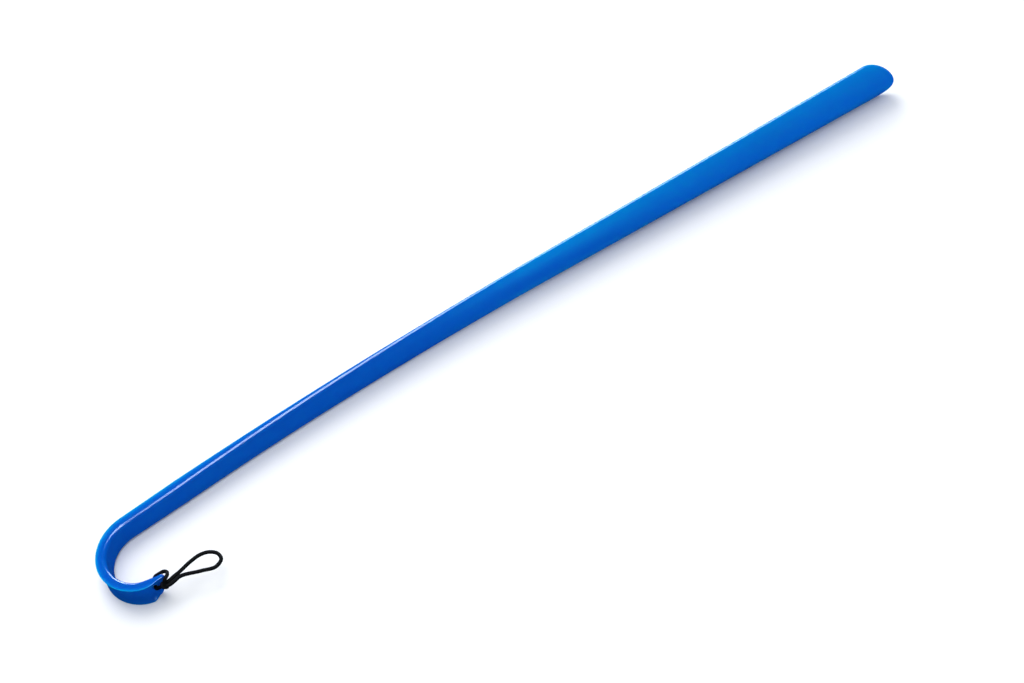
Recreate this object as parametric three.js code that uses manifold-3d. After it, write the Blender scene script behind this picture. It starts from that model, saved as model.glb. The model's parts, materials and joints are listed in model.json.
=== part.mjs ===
// Long-handled shoehorn: one plastic moulding, a wide blade on a slender shaft that ends in a hook, with a
// loop of elastic cord tied through a hole in the tip of the hook. The back of the strip, which is the outside
// of the hook, is hollow along its whole length, and the front of the blade is rounded.
// Millimetres, +Z up. The shoehorn lies on its side on the floor, z = 0, with +X running from the hook to
// the blade, and +Y out of the back of the handle. The origin is on the floor, under the middle of the
// bounding box.
import * as THREE from "three";
import { mergeVertices } from "three/addons/utils/BufferGeometryUtils.js";
import Module from "manifold-3d";

const wasm = await Module();
wasm.setup();

const { degToRad, lerp, smoothstep, clamp } = THREE.MathUtils;
const QUARTER_TURN = Math.PI / 2;

// ---- Sizes of the moulding ------------------------------------------------------------------------------
// The spine is the middle line of the strip. It starts at the tip of the hook, goes round the hook to the
// handle, which runs along +X, and ends at the blade.
const TONGUE_LENGTH = 12.5;
const CURL_RADIUS = 18.5;
const CURL_TURN = degToRad(17);
const BEND_RADIUS = 27.5;
const BEND_TURN = degToRad(147);
const HANDLE_LENGTH = 41;
const BOW_LENGTH = 270;
const BOW_TURN = degToRad(5.4);
const BLADE_LENGTH = 256.5;

const HOOK_WIDTH = 17;
const BLADE_WIDTH = 33;
const TIP_ROUNDING = 4; // length of the half-ellipse that rounds the tip of the hook
const TIP_SLANT = 0.4; // how much further the tip reaches for each millimetre towards its upper edge
const BLADE_ROUNDING = 15;

// The strip is a channel: a wall at its front, and an edge along either side that stands up to the back.
const HOOK_EDGE = 8; // height of the edges, from the front of the wall
const BLADE_EDGE = 1.2;
const THINNING = [41, 310]; // stretch of the shaft where the edges get lower, from the start of the handle
const THINNING_POWER = 1.5; // how much faster they get lower where the stretch starts than on average
const TIP_TAPER = 12; // length over which the edges run out at the tip of the hook

const HOOK_WALL = 2.6;
const BLADE_WALL = 1.5;
const HOOK_SQUARENESS = 4; // power of the hollow's outline: 2 is a parabola, more is squarer
const BLADE_SQUARENESS = 2;
const BLADE_BULGE = 6; // how far the front of the blade stands out before its edges
const BULGING = [60, 450]; // stretch of the shaft where the bulge grows, from the start of the handle

const FRONT_FILLET = 2.4;
const BACK_FILLET = 1.2;
const FILLET_SHARE = 0.48; // a fillet is at most this share of the edge's height

// ---- Sizes of the cord ----------------------------------------------------------------------------------
const HOLE_FROM_TIP = 7.5;
const HOLE_RADIUS = 1.9;
const HOLE_FLARE = 0.7; // radius of the rounding at the hole's two mouths
const CORD_RADIUS = 1.25;
const KNOT_PLACE = [7.1, 2.8, -4]; // middle of the knot, in the hole's axes
const KNOT_RADIUS = 2.6;
const LOOP_HEADING = degToRad(-6); // direction of the loop over the floor, from +X
const GAP = 0.35;

// ---- Spine ----------------------------------------------------------------------------------------------
const spineParts = [
  { length: TONGUE_LENGTH, turn: 0 },
  { length: CURL_RADIUS * CURL_TURN, turn: -CURL_TURN },
  { length: BEND_RADIUS * BEND_TURN, turn: -BEND_TURN },
  { length: HANDLE_LENGTH, turn: 0 },
  { length: BOW_LENGTH, turn: -BOW_TURN },
  { length: BLADE_LENGTH, turn: 0 },
];
const BEND_START = TONGUE_LENGTH + CURL_RADIUS * CURL_TURN;
const HANDLE_START = BEND_START + BEND_RADIUS * BEND_TURN;
const BOW_START = HANDLE_START + HANDLE_LENGTH;
const BOW_END = BOW_START + BOW_LENGTH;
const SPINE_LENGTH = BOW_END + BLADE_LENGTH;

// The spine's point and heading at a distance from the tip, with the tip at the origin.
function walk(distance) {
  let here = { x: 0, y: 0, heading: CURL_TURN + BEND_TURN };
  let left = distance;
  for (const part of spineParts) {
    const step = Math.min(left, part.length);
    const turn = (part.turn * step) / part.length;
    const chord = turn ? (2 * step * Math.sin(turn / 2)) / turn : step;
    const towards = here.heading + turn / 2;
    here = {
      x: here.x + chord * Math.cos(towards),
      y: here.y + chord * Math.sin(towards),
      heading: here.heading + turn,
    };
    left -= step;
  }
  return here;
}

const handleStart = walk(HANDLE_START);

// Axes of the strip at a distance along the spine, with the origin on the spine: X back towards the tip,
// Y out of the back of the strip and Z along its width.
function frameAt(distance) {
  const { x, y, heading } = walk(distance);
  const toTip = new THREE.Vector3(-Math.cos(heading), -Math.sin(heading), 0);
  const back = new THREE.Vector3(-Math.sin(heading), Math.cos(heading), 0);
  const origin = new THREE.Vector3(x - handleStart.x, y - handleStart.y, 0);
  return { origin, toTip, back };
}

// A point of the moulding: distance along the spine, offset to the back, and offset along the width.
function place(distance, offset, side) {
  const { origin, back } = frameAt(distance);
  return origin.addScaledVector(back, offset).setZ(side);
}

// ---- Section of the strip -------------------------------------------------------------------------------
// How far a stretch of the shaft has been travelled, from 0 before its start to 1 after its end.
const travelled = (distance, [start, end]) => clamp((distance - HANDLE_START - start) / (end - start), 0, 1);

// Sizes of the section at a distance along the spine, leaving out the rounding of the two ends. The spine
// runs at half the height of the hook's edges.
function sectionAt(distance) {
  const share = clamp((distance - HANDLE_START) / (SPINE_LENGTH - HANDLE_START), 0, 1);
  const thinning = 1 - (1 - travelled(distance, THINNING)) ** THINNING_POWER;
  const swelling = smoothstep(travelled(distance, BULGING), 0, 1);
  const wall = lerp(HOOK_WALL, BLADE_WALL, swelling);
  const fullEdge = lerp(HOOK_EDGE, BLADE_EDGE, thinning);
  const edge = lerp(wall, fullEdge, smoothstep(distance, 0, TIP_TAPER));
  const bulge = BLADE_BULGE * swelling;
  return {
    halfWidth: lerp(HOOK_WIDTH, BLADE_WIDTH, share) / 2,
    frontEdge: -fullEdge / 2,
    backEdge: edge - fullEdge / 2,
    bulge,
    hollow: edge + bulge - wall,
    squareness: lerp(HOOK_SQUARENESS, BLADE_SQUARENESS, swelling),
    frontFillet: Math.min(FRONT_FILLET, FILLET_SHARE * edge),
    backFillet: Math.min(BACK_FILLET, FILLET_SHARE * edge),
  };
}

// ---- Moulding -------------------------------------------------------------------------------------------
// Stations follow the outline from the tip of the hook to the end of the blade. On the half-ellipses that
// round the two ends, several stations share a distance and differ in their angle round the ellipse, which
// is 0 at the outermost point and a quarter turn where the ellipse joins the straight edges. A slant moves a
// station's points towards the tip in proportion to how high they are on the strip's width.
const TIP_STEPS = 7;
const CURL_STEPS = 3;
const BEND_STEPS = 20;
const BOW_STEPS = 16;
const BLADE_STEPS = 7;
const FACE_STEPS = 10;
const FILLET_STEPS = 3;

// A stretch between straight edges. A slant that it starts with fades out along it.
function straight(start, end, steps, slant = 0) {
  return Array.from({ length: steps }, (_, i) => ({
    distance: lerp(start, end, (i + 1) / steps),
    angle: QUARTER_TURN,
    rounding: 0,
    slant: slant * (1 - (i + 1) / steps),
  }));
}

function rounded(distance, rounding, slant) {
  return Array.from({ length: TIP_STEPS + 1 }, (_, i) => ({
    distance,
    angle: (QUARTER_TURN * i) / TIP_STEPS,
    rounding,
    slant,
  }));
}

const bladeEnd = SPINE_LENGTH - BLADE_ROUNDING;
const stations = [
  ...rounded(TIP_ROUNDING, -TIP_ROUNDING, TIP_SLANT),
  ...straight(TIP_ROUNDING, TONGUE_LENGTH, 4, TIP_SLANT),
  ...straight(TONGUE_LENGTH, BEND_START, CURL_STEPS),
  ...straight(BEND_START, HANDLE_START, BEND_STEPS),
  ...straight(HANDLE_START, BOW_START, 1),
  ...straight(BOW_START, BOW_END, BOW_STEPS),
  ...straight(BOW_END, bladeEnd, BLADE_STEPS).slice(0, -1), // the rounded end opens with its last station
  ...rounded(bladeEnd, BLADE_ROUNDING, 0).reverse(),
];

// The closed ring of points round the strip at a station: front, one edge, back, other edge.
function ringAt({ distance, angle, rounding, slant }) {
  const section = sectionAt(distance);
  const { halfWidth, frontFillet, backFillet } = section;
  const arch = (side, power) => 1 - Math.abs(side / halfWidth) ** power;
  const front = (side) => section.frontEdge - section.bulge * arch(side, 2);
  const back = (side) => section.backEdge - section.hollow * arch(side, section.squareness);
  const point = (inset, share, offset) => {
    const side = share * (halfWidth - inset) * Math.sin(angle);
    const reach = (rounding - Math.sign(rounding) * inset) * Math.cos(angle) - slant * side;
    return place(distance + reach, offset(side), side);
  };
  const steps = (count) => Array.from({ length: count + 1 }, (_, i) => i / count);
  const faceShares = steps(FACE_STEPS).slice(1, -1).map((step) => lerp(-1, 1, step));
  const frontFace = faceShares.map((share) => point(frontFillet, share, front));
  const backFace = faceShares.map((share) => point(backFillet, share, back));
  const edge = (share) => [
    ...steps(FILLET_STEPS).map((step) => {
      const turn = QUARTER_TURN * step;
      const rise = frontFillet * (1 - Math.cos(turn));
      return point(frontFillet * (1 - Math.sin(turn)), share, (side) => front(side) + rise);
    }),
    ...steps(FILLET_STEPS).map((step) => {
      const turn = QUARTER_TURN * step;
      const fall = backFillet * (1 - Math.sin(turn));
      return point(backFillet * (1 - Math.cos(turn)), share, (side) => back(side) - fall);
    }),
  ];
  return [...frontFace, ...edge(1), ...backFace.reverse(), ...edge(-1).reverse()];
}

// ---- Solids ---------------------------------------------------------------------------------------------
// A closed geometry as a manifold-3d solid facing out. Triangles that have collapsed are left out.
function solidOf(geometry) {
  const bare = geometry.clone();
  bare.deleteAttribute("normal");
  bare.deleteAttribute("uv");
  const merged = mergeVertices(bare, 1e-3);
  const corners = [];
  for (let i = 0; i < merged.index.count; i += 3) {
    const [a, b, c] = merged.index.array.subarray(i, i + 3);
    if (a !== b && b !== c && c !== a) corners.push(a, b, c);
  }
  const meshOf = (list) => ({
    numProp: 3,
    vertProperties: merged.attributes.position.array,
    triVerts: new Uint32Array(list),
  });
  const solid = new wasm.Manifold(new wasm.Mesh(meshOf(corners)));
  return solid.volume() > 0 ? solid : new wasm.Manifold(new wasm.Mesh(meshOf(corners.reverse())));
}

function geometryOf(solid) {
  const mesh = solid.getMesh();
  return new THREE.BufferGeometry()
    .setAttribute("position", new THREE.BufferAttribute(mesh.vertProperties, 3))
    .setIndex(new THREE.BufferAttribute(mesh.triVerts, 1));
}

// The surface through a row of rings, each with the same number of points.
function loft(rings) {
  const count = rings[0].length;
  const index = [];
  for (let i = 0; i + 1 < rings.length; i++) {
    for (let j = 0; j < count; j++) {
      const a = i * count + j;
      const b = i * count + ((j + 1) % count);
      index.push(a, b, a + count, b, b + count, a + count);
    }
  }
  return new THREE.BufferGeometry().setFromPoints(rings.flat()).setIndex(index);
}

// A round cord along a curve, with flat ends.
function cordAlong(curve, steps) {
  const outline = new THREE.Shape().absarc(0, 0, CORD_RADIUS, 0, 2 * Math.PI);
  return new THREE.ExtrudeGeometry(outline, { extrudePath: curve, steps, curveSegments: 4 });
}

// ---- Hole for the cord ----------------------------------------------------------------------------------
const holeFrame = frameAt(HOLE_FROM_TIP);

// The hole's axes: X towards the tip, Y out of the back of the strip, and Z to its lower edge.
const holeAxes = new THREE.Matrix4()
  .makeBasis(holeFrame.toTip, holeFrame.back, new THREE.Vector3(0, 0, -1))
  .setPosition(holeFrame.origin);

// The hole's cutter: a round bar that flares where it leaves the front and the back of the strip.
function holeCutter() {
  const frontMouth = -HOOK_EDGE / 2;
  const backMouth = frontMouth + HOOK_WALL;
  const wide = HOLE_RADIUS + HOLE_FLARE;
  const profile = new THREE.Path()
    .moveTo(0, -HOOK_EDGE)
    .lineTo(wide, -HOOK_EDGE)
    .lineTo(wide, frontMouth)
    .absarc(wide, frontMouth + HOLE_FLARE, HOLE_FLARE, -QUARTER_TURN, -Math.PI, true)
    .absarc(wide, backMouth - HOLE_FLARE, HOLE_FLARE, Math.PI, QUARTER_TURN, true)
    .lineTo(wide, HOOK_EDGE)
    .lineTo(0, HOOK_EDGE);
  return new THREE.LatheGeometry(profile.getPoints(3), 20).applyMatrix4(holeAxes);
}

// ---- Cord -----------------------------------------------------------------------------------------------
// The eye passes through the hole, up the front of the strip and round the tip. Its points are in the hole's
// axes, from the knot in the hollow back to the knot.
const eyePoints = [
  [4.6, 1.6, -2.5],
  [2.2, 0.7, -1],
  [0.4, -0.1, -0.1],
  [0, -1.6, 0],
  [0, -3.6, 0],
  [0.1, -5, -0.7],
  [0.8, -5.7, -2.6],
  [2.8, -5.7, -5],
  [6, -5.7, -6.1],
  [9, -5.6, -6.7],
  [11, -3.8, -7.4],
  [11, -1, -8.2],
  [9.6, 1.2, -8.5],
  [8, 2.2, -7],
];

// The loop lies in a level plane. A point of it is given along the loop from the middle of the knot, and
// across it.
const loopPoints = [
  [3.2, 1.45],
  [7, 2.6],
  [11.2, 3.6],
  [21, 6.8],
  [28, 7.9],
  [34, 6.4],
  [38.6, 2],
  [39, -3.4],
  [34, -6.5],
  [24.4, -3.8],
  [11.5, 0.4],
  [7, -0.6],
  [3.2, -1.45],
];

// ---- How it lies ----------------------------------------------------------------------------------------
// The strip's lower edge drops from the hook to the blade, so the shoehorn tilts until the outside of the
// bend and the end of the blade both touch the floor.
const bendReach = BEND_RADIUS + HOOK_EDGE / 2 - BACK_FILLET;
const edgeDrop = (BLADE_WIDTH - HOOK_WIDTH) / 2;
const restPitch = -Math.atan(edgeDrop / (bendReach + place(bladeEnd, 0, 0).x));

// ---- Assembly -------------------------------------------------------------------------------------------
const plastic = new THREE.MeshStandardMaterial({ color: 0x0359bc, roughness: 0.18, metalness: 0 });
const elastic = new THREE.MeshStandardMaterial({ color: 0x0b0a0e, roughness: 0.8, metalness: 0 });

function part(name, geometry, material) {
  const mesh = new THREE.Mesh(geometry, material);
  mesh.name = name;
  return mesh;
}

function smoothCord(points, steps) {
  return cordAlong(new THREE.CatmullRomCurve3(points, false, "centripetal"), steps);
}

const strip = solidOf(loft(stations.map(ringAt)));
const moulding = part("shoehorn", geometryOf(strip.subtract(solidOf(holeCutter()))), plastic);
const eye = part("cord_eye", smoothCord(eyePoints.map((point) => new THREE.Vector3(...point)), 32), elastic);
const knot = part("cord_knot", new THREE.SphereGeometry(KNOT_RADIUS, 16, 10), elastic);
const handLoop = part(
  "cord_loop",
  smoothCord(loopPoints.map(([length, side]) => new THREE.Vector3(length, side, 0)), 48),
  elastic,
);

knot.position.set(...KNOT_PLACE);
const cordEnd = new THREE.Group();
cordEnd.applyMatrix4(holeAxes);
cordEnd.add(eye, knot);

const tilted = new THREE.Group();
tilted.rotation.y = restPitch;
tilted.add(moulding, cordEnd);

const shoehorn = new THREE.Group();
shoehorn.add(tilted, handLoop);
shoehorn.updateMatrixWorld(true);
knot.getWorldPosition(handLoop.position);
handLoop.rotation.z = LOOP_HEADING;

// The origin goes to the floor, under the middle of the bounding box.
const box = new THREE.Box3().setFromObject(shoehorn, true);
const middle = box.getCenter(new THREE.Vector3()).setZ(box.min.z);
shoehorn.children.forEach((child) => child.position.sub(middle));

export default shoehorn;
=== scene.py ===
"""Long shoehorn: a glossy blue plastic moulding with a black elastic cord knotted through the hook's tip.

The moulding is drawn from its driving sizes in its own axes, in millimetres: X along the straight handle
towards the blade, Y out of the strip's hollow back, Z across its width. It is then laid down where the
frame has it. The cord is drawn in axes set by the frame's two joints, in millimetres too. The scene itself
is in metres.
"""

import json
from math import atan, ceil, cos, pi, radians, sin, sqrt, tau

import bmesh
import bpy
from mathutils import Matrix, Vector


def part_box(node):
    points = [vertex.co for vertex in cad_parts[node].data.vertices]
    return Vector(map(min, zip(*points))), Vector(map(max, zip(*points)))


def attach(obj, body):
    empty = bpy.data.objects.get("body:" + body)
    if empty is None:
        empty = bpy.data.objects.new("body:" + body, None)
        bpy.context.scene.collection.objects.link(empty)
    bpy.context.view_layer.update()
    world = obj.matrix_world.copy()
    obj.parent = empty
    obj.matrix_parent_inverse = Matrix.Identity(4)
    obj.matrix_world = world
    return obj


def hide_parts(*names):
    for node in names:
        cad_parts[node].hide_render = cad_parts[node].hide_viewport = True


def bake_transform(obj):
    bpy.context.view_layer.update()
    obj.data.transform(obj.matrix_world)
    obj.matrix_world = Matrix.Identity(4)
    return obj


MM = 0.001
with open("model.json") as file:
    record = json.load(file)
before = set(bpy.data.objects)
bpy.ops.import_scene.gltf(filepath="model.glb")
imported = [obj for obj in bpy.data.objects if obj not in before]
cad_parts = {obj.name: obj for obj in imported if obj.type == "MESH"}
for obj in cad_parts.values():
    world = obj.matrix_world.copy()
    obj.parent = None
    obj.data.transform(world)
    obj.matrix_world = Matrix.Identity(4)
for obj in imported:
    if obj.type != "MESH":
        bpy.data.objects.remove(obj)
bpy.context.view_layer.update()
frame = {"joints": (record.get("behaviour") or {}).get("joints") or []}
joints = {joint["name"]: joint for joint in frame["joints"]}

# ---- Sizes of the moulding, in millimetres --------------------------------------------------------------
# The spine runs from the tip of the hook, round the hook, along the handle and the bow to the blade.
TONGUE_LENGTH = 12.5
CURL_RADIUS = 18.5
CURL_TURN = radians(17)
BEND_RADIUS = 27.5
BEND_TURN = radians(147)
HANDLE_LENGTH = 41
BOW_LENGTH = 270
BOW_TURN = radians(5.4)
BLADE_LENGTH = 256.5

HOOK_WIDTH = 17
BLADE_WIDTH = 33
TIP_ROUNDING = 4
TIP_SLANT = 0.4
BLADE_ROUNDING = 15

# The strip is a channel: a wall at its front, and an edge along either side that stands up to the back.
HOOK_EDGE = 8
BLADE_EDGE = 1.2
THINNING = (41, 310)  # stretch where the edges get lower, from the start of the handle
THINNING_POWER = 1.5
TIP_TAPER = 12  # length over which the edges run out at the tip of the hook

HOOK_WALL = 2.6
BLADE_WALL = 1.5
HOOK_SQUARENESS = 4  # power of the hollow's outline
BLADE_SQUARENESS = 2
BLADE_BULGE = 6
BULGING = (60, 450)  # stretch where the front starts to stand out, from the start of the handle

FRONT_FILLET = 2.4
BACK_FILLET = 1.2
FILLET_SHARE = 0.48

HOLE_RADIUS = 1.9
HOLE_FLARE = 0.7

# How finely the moulding is drawn.
FACE_STEPS = 40
FILLET_STEPS = 8
END_STEPS = 20
HOLE_SIDES = 40
FLARE_STEPS = 6
SAME_POINT = 1e-4  # points nearer than this are joined
CRISP_ANGLE = radians(50)  # faces that meet at more than this keep a crisp edge

# ---- Sizes of the cord, in millimetres ------------------------------------------------------------------
CORD_RADIUS = 1.25
BRAID_RELIEF = 0.1
BRAID_STRANDS = 8
BRAID_PITCH = 4
CORD_SIDES = 32
CORD_STEP = 0.22

KNOT_TURNS_RADIUS = 1.35  # mean distance of the knot's turns from its middle
KNOT_TURNS_SPREAD = 0.62
KNOT_TURNS_HEIGHT = 0.95
KNOT_CORD_RADIUS = 1.08  # the cord is pulled thinner in the knot
KNOT_POINTS = 36
KNOT_FLAT_SIDE = (0.2, 1, -0.45)  # direction of the knot's flat side, in the hole's axes

# ---- Spine of the strip ---------------------------------------------------------------------------------
SPINE_PARTS = (
    (TONGUE_LENGTH, 0),
    (CURL_RADIUS * CURL_TURN, -CURL_TURN),
    (BEND_RADIUS * BEND_TURN, -BEND_TURN),
    (HANDLE_LENGTH, 0),
    (BOW_LENGTH, -BOW_TURN),
    (BLADE_LENGTH, 0),
)
BEND_START = TONGUE_LENGTH + CURL_RADIUS * CURL_TURN
HANDLE_START = BEND_START + BEND_RADIUS * BEND_TURN
BOW_START = HANDLE_START + HANDLE_LENGTH
BOW_END = BOW_START + BOW_LENGTH
SPINE_LENGTH = BOW_END + BLADE_LENGTH
BLADE_END = SPINE_LENGTH - BLADE_ROUNDING


def mix(a, b, share):
    """The value that lies a share of the way from a to b."""
    return a + (b - a) * share


def ease(value, start, end):
    """0 before start, 1 after end, and a smooth step between them."""
    share = min(max((value - start) / (end - start), 0), 1)
    return share * share * (3 - 2 * share)


def walk(distance):
    """The spine's point and heading at a distance from the tip, with the tip at the origin."""
    x, y, heading, left = 0, 0, CURL_TURN + BEND_TURN, distance
    for length, whole_turn in SPINE_PARTS:
        step = min(left, length)
        turn = whole_turn * step / length
        chord = 2 * step * sin(turn / 2) / turn if turn else step
        x += chord * cos(heading + turn / 2)
        y += chord * sin(heading + turn / 2)
        heading += turn
        left -= step
    return x, y, heading


HANDLE_X, HANDLE_Y, _ = walk(HANDLE_START)


def place(distance, offset, side):
    """A point of the moulding: distance along the spine, offset to the back, and offset along the width."""
    x, y, heading = walk(distance)
    return Vector((x - HANDLE_X - offset * sin(heading), y - HANDLE_Y + offset * cos(heading), side))


def section_at(distance):
    """Sizes of the channel: a wall at the front, and an edge on either side that stands up to the back."""
    share = min(max((distance - HANDLE_START) / (SPINE_LENGTH - HANDLE_START), 0), 1)
    thinned = min(max((distance - HANDLE_START - THINNING[0]) / (THINNING[1] - THINNING[0]), 0), 1)
    full_edge = mix(HOOK_EDGE, BLADE_EDGE, 1 - (1 - thinned) ** THINNING_POWER)
    swelling = ease(distance - HANDLE_START, *BULGING)
    wall = mix(HOOK_WALL, BLADE_WALL, swelling)
    edge = mix(wall, full_edge, ease(distance, 0, TIP_TAPER))
    return {
        "half_width": mix(HOOK_WIDTH, BLADE_WIDTH, share) / 2,
        "front_edge": -full_edge / 2,
        "back_edge": edge - full_edge / 2,
        "bulge": BLADE_BULGE * swelling,
        "hollow": edge + BLADE_BULGE * swelling - wall,
        "squareness": mix(HOOK_SQUARENESS, BLADE_SQUARENESS, swelling),
        "front_fillet": min(FRONT_FILLET, FILLET_SHARE * edge),
        "back_fillet": min(BACK_FILLET, FILLET_SHARE * edge),
    }


def ring_at(distance, angle, rounding, slant):
    """The closed ring of points round the strip.

    angle is a quarter turn except on the rounded ends, where it runs from 0 at the outermost point.
    rounding is the length of the half-ellipse there. slant brings the ring's upper side nearer the tip.
    """
    section = section_at(distance)
    half_width = section["half_width"]
    front_fillet, back_fillet = section["front_fillet"], section["back_fillet"]

    def front(side):
        """The offset of the front face at an offset along the width."""
        return section["front_edge"] - section["bulge"] * (1 - (side / half_width) ** 2)

    def back(side):
        """The offset of the hollow back at an offset along the width."""
        arch = 1 - abs(side / half_width) ** section["squareness"]
        return section["back_edge"] - section["hollow"] * arch

    def point(inset, across, face, rise):
        """A point that stands in from the outline and up from a face. across runs from -1 to 1."""
        side = across * (half_width - inset) * sin(angle)
        end = rounding - inset * (1 if rounding > 0 else -1 if rounding < 0 else 0)
        return place(distance + end * cos(angle) - slant * side, face(side) + rise, side)

    def edge(across):
        """The rounded edge on one side, from the front face to the back."""
        turns = [pi / 2 * i / FILLET_STEPS for i in range(FILLET_STEPS + 1)]
        rounded_front = [
            point(front_fillet * (1 - sin(turn)), across, front, front_fillet * (1 - cos(turn)))
            for turn in turns
        ]
        rounded_back = [
            point(back_fillet * (1 - cos(turn)), across, back, -back_fillet * (1 - sin(turn)))
            for turn in turns
        ]
        return rounded_front + rounded_back

    shares = [mix(-1, 1, i / FACE_STEPS) for i in range(1, FACE_STEPS)]
    front_face = [point(front_fillet, across, front, 0) for across in shares]
    back_face = [point(back_fillet, across, back, 0) for across in reversed(shares)]
    return front_face + edge(1) + back_face + edge(-1)[::-1]


def stations():
    """What ring_at needs for every ring, from the tip of the hook to the end of the blade."""
    # Where each stretch starts and ends, its number of rings, and the slant at its start.
    stretches = (
        (TIP_ROUNDING, TONGUE_LENGTH, 16, TIP_SLANT),
        (TONGUE_LENGTH, BEND_START, 10, 0),
        (BEND_START, HANDLE_START, 80, 0),
        (HANDLE_START, BOW_START, 10, 0),
        (BOW_START, BOW_END, 60, 0),
        (BOW_END, BLADE_END, 40, 0),
    )
    angles = [pi / 2 * i / END_STEPS for i in range(END_STEPS)]
    yield from ((TIP_ROUNDING, angle, -TIP_ROUNDING, TIP_SLANT) for angle in angles)
    yield TIP_ROUNDING, pi / 2, -TIP_ROUNDING, TIP_SLANT
    for start, end, count, slant in stretches:
        for i in range(1, count + 1):
            yield mix(start, end, i / count), pi / 2, 0, slant * (1 - i / count)
    yield from ((BLADE_END, angle, BLADE_ROUNDING, 0) for angle in reversed(angles))


# ---- Where the moulding lies ----------------------------------------------------------------------------
def rest_tilt():
    """The turn about Y that brings the outside of the bend and the end of the blade both to the floor."""
    bend_reach = BEND_RADIUS + HOOK_EDGE / 2 - BACK_FILLET
    edge_drop = (BLADE_WIDTH - HOOK_WIDTH) / 2
    return -atan(edge_drop / (bend_reach + place(BLADE_END, 0, 0).x))


def lay_down(mesh):
    """Turns a mesh from the moulding's own axes to the frame's, and moves its low corner to the node's."""
    mesh.transform(Matrix.Scale(MM, 4) @ Matrix.Rotation(rest_tilt(), 4, "Y"))
    lowest = Vector(min(vertex.co[axis] for vertex in mesh.vertices) for axis in range(3))
    mesh.transform(Matrix.Translation(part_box("shoehorn")[0] - lowest))


# ---- Meshes ---------------------------------------------------------------------------------------------
def add_object(name, mesh):
    """A new object with a mesh, in the scene."""
    made = bpy.data.objects.new(name, mesh)
    bpy.context.scene.collection.objects.link(made)
    return made


def loft(name, rings, closed=False):
    """The surface through a row of rings, each with the same number of points."""
    made = bmesh.new()
    rows = [[made.verts.new(point) for point in ring] for ring in rings]
    if closed:
        rows.append(rows[0])
    for row, following in zip(rows, rows[1:]):
        for j in range(len(row)):
            made.faces.new((row[j - 1], row[j], following[j], following[j - 1]))
    mesh = bpy.data.meshes.new(name)
    made.to_mesh(mesh)
    made.free()
    return mesh


def close(mesh):
    """Fills a mesh's open ends and turns all faces out."""
    made = bmesh.new()
    made.from_mesh(mesh)
    bmesh.ops.holes_fill(made, edges=made.edges)
    bmesh.ops.recalc_face_normals(made, faces=made.faces)
    made.to_mesh(mesh)
    made.free()


def clean(mesh, distance):
    """Joins points that coincide, drops faces that have collapsed and turns all faces out."""
    made = bmesh.new()
    made.from_mesh(mesh)
    bmesh.ops.remove_doubles(made, verts=made.verts, dist=distance)
    bmesh.ops.dissolve_degenerate(made, edges=made.edges, dist=distance)
    bmesh.ops.recalc_face_normals(made, faces=made.faces)
    made.to_mesh(mesh)
    made.free()


def hole_cutter():
    """A round bar on the cord's swing axis that flares at both faces of the strip, in the frame."""
    centre = Vector(joints["cord_swing"]["pos_m"])
    axis = Vector(joints["cord_swing"]["axis"]).normalized()
    turned = axis.to_track_quat("Z", "Y").to_matrix().to_4x4()
    flare = [pi / 2 * i / FLARE_STEPS for i in range(FLARE_STEPS + 1)]
    front_mouth = -HOOK_EDGE / 2
    back_mouth = front_mouth + HOOK_WALL
    wide = HOLE_RADIUS + HOLE_FLARE
    overrun = 3
    profile = [(wide, front_mouth - overrun)]
    profile += [(wide - HOLE_FLARE * sin(a), front_mouth + HOLE_FLARE * (1 - cos(a))) for a in flare]
    profile += [(wide - HOLE_FLARE * cos(a), back_mouth - HOLE_FLARE * (1 - sin(a))) for a in flare]
    profile += [(wide, back_mouth + overrun)]
    turns = [tau * i / HOLE_SIDES for i in range(HOLE_SIDES)]
    rings = [
        [Vector((radius * cos(turn), radius * sin(turn), height)) for turn in turns]
        for radius, height in profile
    ]
    mesh = loft("hole_cutter", rings)
    close(mesh)
    mesh.transform(Matrix.Translation(centre) @ turned @ Matrix.Scale(MM, 4))
    return add_object("hole_cutter", mesh)


def make_moulding():
    """The strip with the hole for the cord cut through the tongue of its hook."""
    mesh = loft("shoehorn_moulding", [ring_at(*station) for station in stations()])
    clean(mesh, SAME_POINT)
    lay_down(mesh)
    solid = add_object("shoehorn_moulding", mesh)
    cutter = hole_cutter()
    cut = solid.modifiers.new("hole", "BOOLEAN")
    cut.object = cutter
    cut.operation = "DIFFERENCE"
    cut.solver = "EXACT"
    seen = solid.evaluated_get(bpy.context.evaluated_depsgraph_get())
    solid.data = bpy.data.meshes.new_from_object(seen)
    solid.modifiers.clear()
    bpy.data.objects.remove(cutter)
    solid.data.shade_smooth()
    solid.data.set_sharp_from_angle(angle=CRISP_ANGLE)
    return solid


# ---- Cord -----------------------------------------------------------------------------------------------
def smooth_path(points, closed=False):
    """Points about CORD_STEP apart on a smooth curve through the given points (a centripetal spline)."""
    count = len(points)
    spans = count if closed else count - 1
    path = []
    for i in range(spans):
        if closed:
            before, start, end, after = (points[(i + k) % count] for k in (-1, 0, 1, 2))
        else:
            start, end = points[i], points[i + 1]
            before = points[i - 1] if i else start * 2 - end
            after = points[i + 2] if i + 2 < count else end * 2 - start
        first = sqrt((start - before).length)
        middle = sqrt((end - start).length)
        last = sqrt((after - end).length)
        along = (end - start) / middle
        leave = ((start - before) / first - (end - before) / (first + middle) + along) * middle
        arrive = (along - (after - start) / (middle + last) + (after - end) / last) * middle
        steps = ceil((end - start).length / CORD_STEP)
        for k in range(steps):
            t = k / steps
            path.append(
                start * (2 * t**3 - 3 * t**2 + 1)
                + leave * (t**3 - 2 * t**2 + t)
                + end * (3 * t**2 - 2 * t**3)
                + arrive * (t**3 - t**2)
            )
    if not closed:
        path.append(points[-1])
    return path


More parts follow.
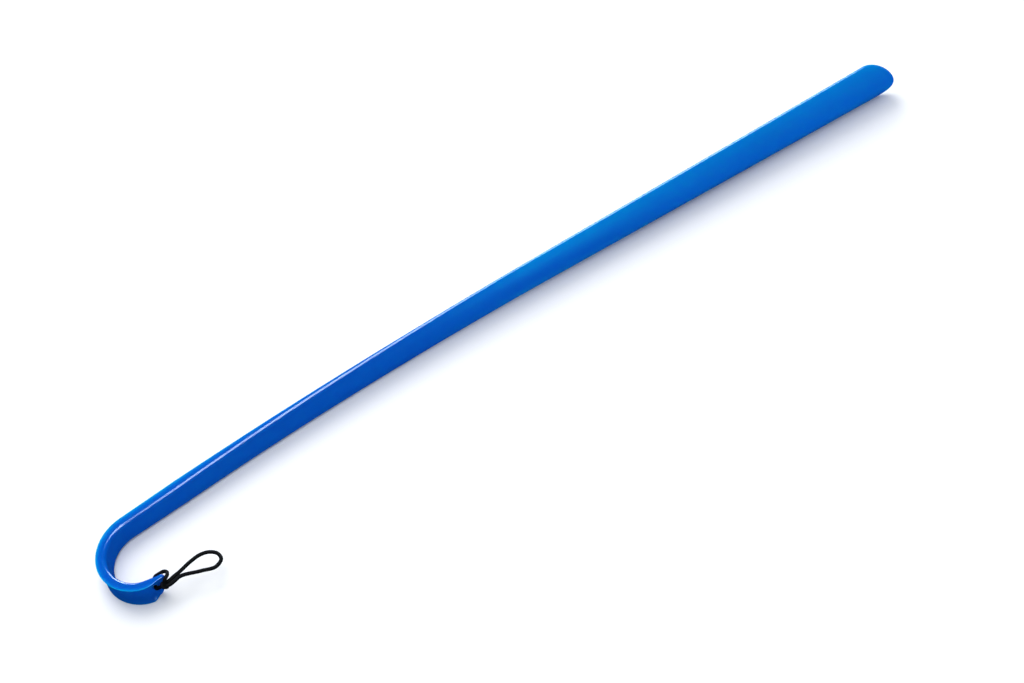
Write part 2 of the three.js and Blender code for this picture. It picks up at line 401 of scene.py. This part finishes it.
def braid_height(around, along):
    """How far a point stands out of the cord: diamonds where the two sets of strands cross."""
    u = around * BRAID_STRANDS / tau
    v = along / BRAID_PITCH * 2
    return abs(sin(pi * (u + v))) * abs(sin(pi * (u - v)))


def cord_mesh(name, points, closed=False, radius=CORD_RADIUS):
    """A braided round cord along a smooth path, in millimetres. "braid" holds its relief at every point."""
    path = smooth_path(points, closed)
    count = len(path)
    tangents = []
    for i in range(count):
        following = path[(i + 1) % count] if closed or i + 1 < count else path[i]
        before = path[i - 1] if closed or i else path[i]
        tangents.append((following - before).normalized())
    normal = tangents[0].orthogonal().normalized()
    rings, heights, along = [], [], 0
    for i, tangent in enumerate(tangents):
        normal = (normal - tangent * normal.dot(tangent)).normalized()
        binormal = tangent.cross(normal)
        ring = []
        for j in range(CORD_SIDES):
            around = tau * j / CORD_SIDES
            height = braid_height(around, along)
            heights.append(height)
            reach = radius + BRAID_RELIEF * (height - 0.5)
            ring.append(path[i] + (normal * cos(around) + binormal * sin(around)) * reach)
        rings.append(ring)
        along += (path[(i + 1) % count] - path[i]).length
    mesh = loft(name, rings, closed)
    stored = mesh.attributes.new("braid", "FLOAT", "POINT")
    stored.data.foreach_set("value", heights)
    mesh.shade_smooth()
    close(mesh)
    return mesh


def cord_axes():
    """The hole's axes in the frame: X to the hook's tip, Y out of the strip's back, Z to its lower edge."""
    hole = joints["cord_swing"]
    back = Vector(hole["axis"]).normalized()
    down = Matrix.Rotation(rest_tilt(), 3, "Y") @ Vector((0, 0, -1))
    to_tip = back.cross(down)
    axes = Matrix((to_tip, back, down)).transposed().to_4x4()
    return Matrix.Translation(Vector(hole["pos_m"])) @ axes @ Matrix.Scale(MM, 4)


def loop_axes():
    """The loop's axes in the frame: X along the loop from the knot, Y across it, Z up."""
    knot = joints["loop_flop"]
    across = Vector(knot["axis"]).normalized()
    up = Vector((0, 0, 1))
    axes = Matrix((across.cross(up), across, up)).transposed().to_4x4()
    return Matrix.Translation(Vector(knot["pos_m"])) @ axes @ Matrix.Scale(MM, 4)


def knot_place():
    """The middle of the knot in the hole's axes, in millimetres."""
    return cord_axes().inverted() @ Vector(joints["loop_flop"]["pos_m"])


def eye_mesh():
    """The strand that leaves the knot, passes through the hole, goes up the front and comes round the tip.

    The points are in the hole's axes.
    """
    knot = knot_place()
    outline = (
        knot,
        (4.6, 1.6, -2.5),
        (2.2, 0.7, -1),
        (0.4, -0.1, -0.1),
        (0, -1.6, 0),
        (0, -3.6, 0),
        (0.1, -5, -0.7),
        (0.8, -5.7, -2.6),
        (2.8, -5.7, -5),
        (6, -5.7, -6.1),
        (9, -5.6, -6.7),
        (11, -3.8, -7.4),
        (11, -1, -8.2),
        (9.6, 1.2, -8.5),
        (8, 2.2, -7),
        knot,
    )
    mesh = cord_mesh("cord_eye_strand", [Vector(point) for point in outline])
    mesh.transform(cord_axes())
    return mesh


def knot_mesh():
    """The turns of an overhand knot, drawn as a trefoil whose flat side faces the hollow of the strip."""
    turns = []
    for i in range(KNOT_POINTS):
        t = tau * i / KNOT_POINTS
        spread = KNOT_TURNS_RADIUS + KNOT_TURNS_SPREAD * cos(3 * t)
        turns.append(Vector((spread * cos(2 * t), spread * sin(2 * t), KNOT_TURNS_HEIGHT * sin(3 * t))))
    mesh = cord_mesh("cord_knot_turns", turns, closed=True, radius=KNOT_CORD_RADIUS)
    turned = Vector(KNOT_FLAT_SIDE).to_track_quat("Z", "X").to_matrix().to_4x4()
    mesh.transform(cord_axes() @ Matrix.Translation(knot_place()) @ turned)
    return mesh


def hand_loop_mesh():
    """The long loop, which lies level in the loop's axes. Both of its ends run into the knot."""
    outline = (
        (0.6, 0.9),
        (3.2, 1.45),
        (7, 2.6),
        (11.2, 3.6),
        (21, 6.8),
        (28, 7.9),
        (34, 6.4),
        (38.6, 2),
        (39, -3.4),
        (34, -6.5),
        (24.4, -3.8),
        (11.5, 0.4),
        (7, -0.6),
        (3.2, -1.45),
        (0.6, -0.9),
    )
    mesh = cord_mesh("cord_hand_loop", [Vector((along, across, 0)) for along, across in outline])
    mesh.transform(loop_axes())
    return mesh


# ---- Materials ------------------------------------------------------------------------------------------
def new_material(name):
    """A new material with its nodes, its links and its surface shader."""
    material = bpy.data.materials.new(name)
    material.use_nodes = True
    nodes = material.node_tree.nodes
    return material, nodes, material.node_tree.links, nodes["Principled BSDF"]


def noise(nodes, scale, detail):
    """A noise texture, and the coordinates to drive it with."""
    coordinates = nodes.new("ShaderNodeTexCoord")
    texture = nodes.new("ShaderNodeTexNoise")
    texture.inputs["Scale"].default_value = scale
    texture.inputs["Detail"].default_value = detail
    return coordinates, texture


def blue_plastic():
    """Polished, slightly translucent plastic: faint flow marks along the strip and a nearly smooth skin."""
    material, nodes, links, surface = new_material("blue_plastic")
    coordinates, flow = noise(nodes, 26, 3)
    stretch = nodes.new("ShaderNodeMapping")
    stretch.inputs["Scale"].default_value = (0.25, 1, 1)
    links.new(coordinates.outputs["Object"], stretch.inputs["Vector"])
    links.new(stretch.outputs["Vector"], flow.inputs["Vector"])
    colours = nodes.new("ShaderNodeValToRGB")
    colours.color_ramp.elements[0].position = 0.3
    colours.color_ramp.elements[0].color = (0.0003, 0.09, 0.46, 1)
    colours.color_ramp.elements[1].position = 0.7
    colours.color_ramp.elements[1].color = (0.0004, 0.102, 0.5, 1)
    links.new(flow.outputs["Fac"], colours.inputs["Fac"])
    links.new(colours.outputs["Color"], surface.inputs["Base Color"])
    coordinates, wear = noise(nodes, 900, 4)
    links.new(coordinates.outputs["Object"], wear.inputs["Vector"])
    gloss = nodes.new("ShaderNodeMapRange")
    gloss.inputs["To Min"].default_value = 0.12
    gloss.inputs["To Max"].default_value = 0.2
    links.new(wear.outputs["Fac"], gloss.inputs["Value"])
    links.new(gloss.outputs["Result"], surface.inputs["Roughness"])
    skin = nodes.new("ShaderNodeBump")
    skin.inputs["Strength"].default_value = 0.04
    skin.inputs["Distance"].default_value = 0.0002
    links.new(flow.outputs["Fac"], skin.inputs["Height"])
    links.new(skin.outputs["Normal"], surface.inputs["Normal"])
    surface.inputs["IOR"].default_value = 1.5
    surface.inputs["Specular Tint"].default_value = (0.7, 0.82, 1, 1)
    surface.inputs["Subsurface Weight"].default_value = 0.85
    surface.inputs["Subsurface Radius"].default_value = (0.1, 1.5, 1.3)
    surface.inputs["Subsurface Scale"].default_value = 0.004
    return material


def black_elastic():
    """Braided textile cover: near black, with painted sheen and painted shade: a little lighter on the
    crowns of the braid and darker between them.
    """
    material, nodes, links, surface = new_material("black_elastic")
    braid = nodes.new("ShaderNodeAttribute")
    braid.attribute_name = "braid"
    # Painted sheen and shade: the crowns of the braid are coloured lighter and the valleys between the
    # strands darker.
    colours = nodes.new("ShaderNodeValToRGB")
    colours.color_ramp.elements[0].color = (0.0003, 0.0002, 0.0004, 1)
    colours.color_ramp.elements[1].color = (0.0016, 0.0013, 0.0024, 1)
    links.new(braid.outputs["Fac"], colours.inputs["Fac"])
    links.new(colours.outputs["Color"], surface.inputs["Base Color"])
    coordinates, fibres = noise(nodes, 6000, 2)
    links.new(coordinates.outputs["Object"], fibres.inputs["Vector"])
    fuzz = nodes.new("ShaderNodeBump")
    fuzz.inputs["Strength"].default_value = 0.35
    fuzz.inputs["Distance"].default_value = 0.00008
    links.new(fibres.outputs["Fac"], fuzz.inputs["Height"])
    links.new(fuzz.outputs["Normal"], surface.inputs["Normal"])
    surface.inputs["Roughness"].default_value = 0.72
    surface.inputs["Specular IOR Level"].default_value = 0.1
    return material


CARD = (0.93, 0.93, 0.94, 1)
MIRRORED_CARD = (0.01, 0.04, 0.12, 1)
SKY = (0.88, 0.94, 1, 1)
MIRRORED_SKY = (0.01, 0.04, 0.1, 1)


def unless_mirrored(nodes, links, colour, mirrored, target):
    """Gives an input one colour, and another where it is seen in a reflection, as dark cards would."""
    path = nodes.new("ShaderNodeLightPath")
    choice = nodes.new("ShaderNodeMix")
    choice.data_type = "RGBA"
    choice.inputs["A"].default_value = colour
    choice.inputs["B"].default_value = mirrored
    links.new(path.outputs["Is Glossy Ray"], choice.inputs["Factor"])
    links.new(choice.outputs["Result"], target)


def white_floor():
    """Matt white card, dark where the plastic mirrors it."""
    material, nodes, links, surface = new_material("white_floor")
    unless_mirrored(nodes, links, CARD, MIRRORED_CARD, surface.inputs["Base Color"])
    surface.inputs["Roughness"].default_value = 0.9
    surface.inputs["Specular IOR Level"].default_value = 0.1
    return material


# ---- The object -----------------------------------------------------------------------------------------
plastic = blue_plastic()
elastic = black_elastic()

moulding = make_moulding()
moulding.data.materials.append(plastic)
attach(moulding, "root")
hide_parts("shoehorn")

eye = add_object("cord_eye_strand", eye_mesh())
knot = add_object("cord_knot_turns", knot_mesh())
hand_loop = add_object("cord_hand_loop", hand_loop_mesh())
for piece, node in ((eye, "cord_eye"), (knot, "cord_knot"), (hand_loop, "cord_loop")):
    piece.data.materials.append(elastic)
    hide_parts(node)
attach(eye, "cord_end")
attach(knot, "cord_end")
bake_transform(hand_loop)

# ---- Stage ----------------------------------------------------------------------------------------------
FLOOR_HALF = 4
floor_mesh = bpy.data.meshes.new("floor")
floor_corners = [(x * FLOOR_HALF, y * FLOOR_HALF, 0) for x, y in ((-1, -1), (1, -1), (1, 1), (-1, 1))]
floor_mesh.from_pydata(floor_corners, [], [(0, 1, 2, 3)])
floor = add_object("floor", floor_mesh)
floor.data.materials.append(white_floor())


def towards(azimuth, elevation):
    """The direction from the object to a point round it: azimuth 0 is at -Y and 90 at +X, in degrees."""
    a, e = radians(azimuth), radians(elevation)
    return Vector((sin(a) * cos(e), -cos(a) * cos(e), sin(e)))


def soft_light(name, azimuth, elevation, distance, size, power, colour=(1, 1, 1)):
    """A rectangular light that faces the object. size is its height and its width, seen from there."""
    data = bpy.data.lights.new(name, "AREA")
    data.shape = "RECTANGLE"
    data.size, data.size_y = size
    data.energy = power
    data.color = colour
    made = bpy.data.objects.new(name, data)
    bpy.context.scene.collection.objects.link(made)
    direction = towards(azimuth, elevation)
    made.location = direction * distance
    made.rotation_mode = "QUATERNION"
    made.rotation_quaternion = direction.to_track_quat("Z", "X")
    return made


COOL_WHITE = (0.8, 0.88, 1)
key_light = soft_light("key", 168, 50, 2.2, (1.7, 2.0), 36)
key_light.visible_glossy = False
soft_light("overhead", 0, 86, 1.8, (1.6, 0.8), 9)
edge_light = soft_light("edge", 0, 76, 1.8, (1.8, 0.7), 60, COOL_WHITE)
edge_light.visible_diffuse = False
glint_light = soft_light("glint", 158, 19, 2, (1.1, 1.3), 70, COOL_WHITE)
glint_light.visible_diffuse = False

world = bpy.data.worlds.new("studio")
bpy.context.scene.world = world
world.use_nodes = True
tree = world.node_tree
sky = tree.nodes["Background"]
sky.inputs["Strength"].default_value = 0.66
unless_mirrored(tree.nodes, tree.links, SKY, MIRRORED_SKY, sky.inputs["Color"])
bpy.context.scene.view_settings.view_transform = "Standard"

# ---- Camera ---------------------------------------------------------------------------------------------
CAMERA_AZIMUTH = -6.75  # degrees
CAMERA_ELEVATION = 51.43  # degrees
CAMERA_ROLL = radians(-28.13)
CAMERA_DISTANCE = 3.114
CAMERA_ANGLE = radians(12)
CAMERA_AIM = Vector((0.0030, 0.0013, -0.0083))

camera = bpy.data.objects.new("camera", bpy.data.cameras.new("camera"))
bpy.context.scene.collection.objects.link(camera)
camera.data.angle = CAMERA_ANGLE
camera.data.clip_end = 20
back = towards(CAMERA_AZIMUTH, CAMERA_ELEVATION)
level = Vector((cos(radians(CAMERA_AZIMUTH)), sin(radians(CAMERA_AZIMUTH)), 0))
right = Matrix.Rotation(CAMERA_ROLL, 3, back) @ level
camera.matrix_world = Matrix.Translation(CAMERA_AIM + back * CAMERA_DISTANCE) @ (
    Matrix((right, back.cross(right), back)).transposed().to_4x4()
)
bpy.context.scene.camera = camera
